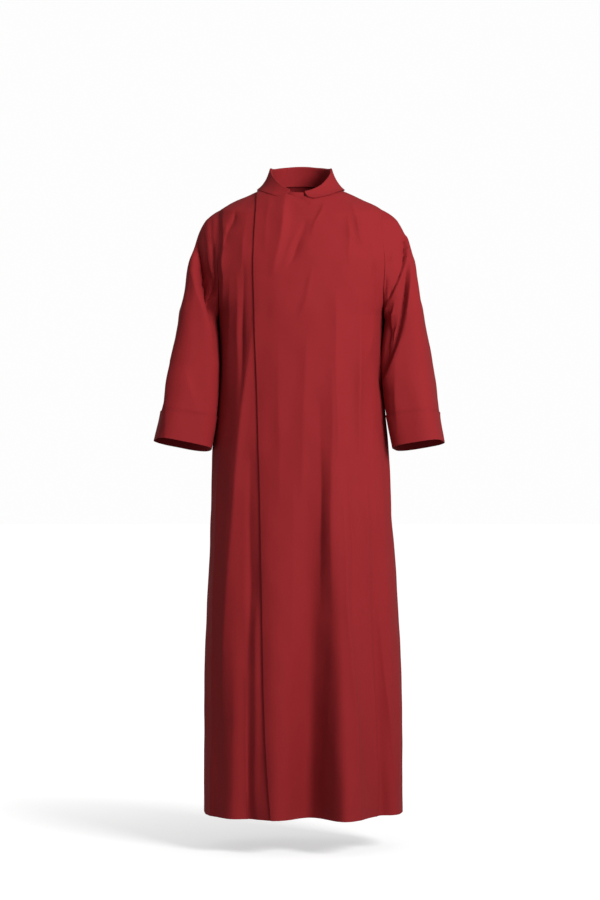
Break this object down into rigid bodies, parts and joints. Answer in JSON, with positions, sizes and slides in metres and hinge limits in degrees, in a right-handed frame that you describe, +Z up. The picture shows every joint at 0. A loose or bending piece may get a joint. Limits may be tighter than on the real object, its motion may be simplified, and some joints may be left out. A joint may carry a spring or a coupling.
{
  "type": "cassock",
  "caption": "Full-length cassock in its worn, hollow form: wrap-over front with a concealed fastening, turned-down rounded collar, set-in wide sleeves with deep cuffs, open hem.",
  "frame": {"origin": "middle of the base of the neck, at the height of the shoulder seams, where the wearer's shoulders carry the garment", "axes": "+Z up towards the collar, +X towards the wearer's left sleeve, +Y backwards; the front faces -Y"},
  "size_m": [0.6696, 0.3956, 1.5012],
  "materials": {
    "red_cloth": "matte"
  },
  "bodies": {
    "root": {"front_left": "red_cloth", "front_right": "red_cloth", "back": "red_cloth", "sleeve_left": "red_cloth", "sleeve_right": "red_cloth", "cuff_left": "red_cloth", "cuff_right": "red_cloth", "collar": "red_cloth", "neck_band": "red_cloth"}
  },
  "joints": []
}
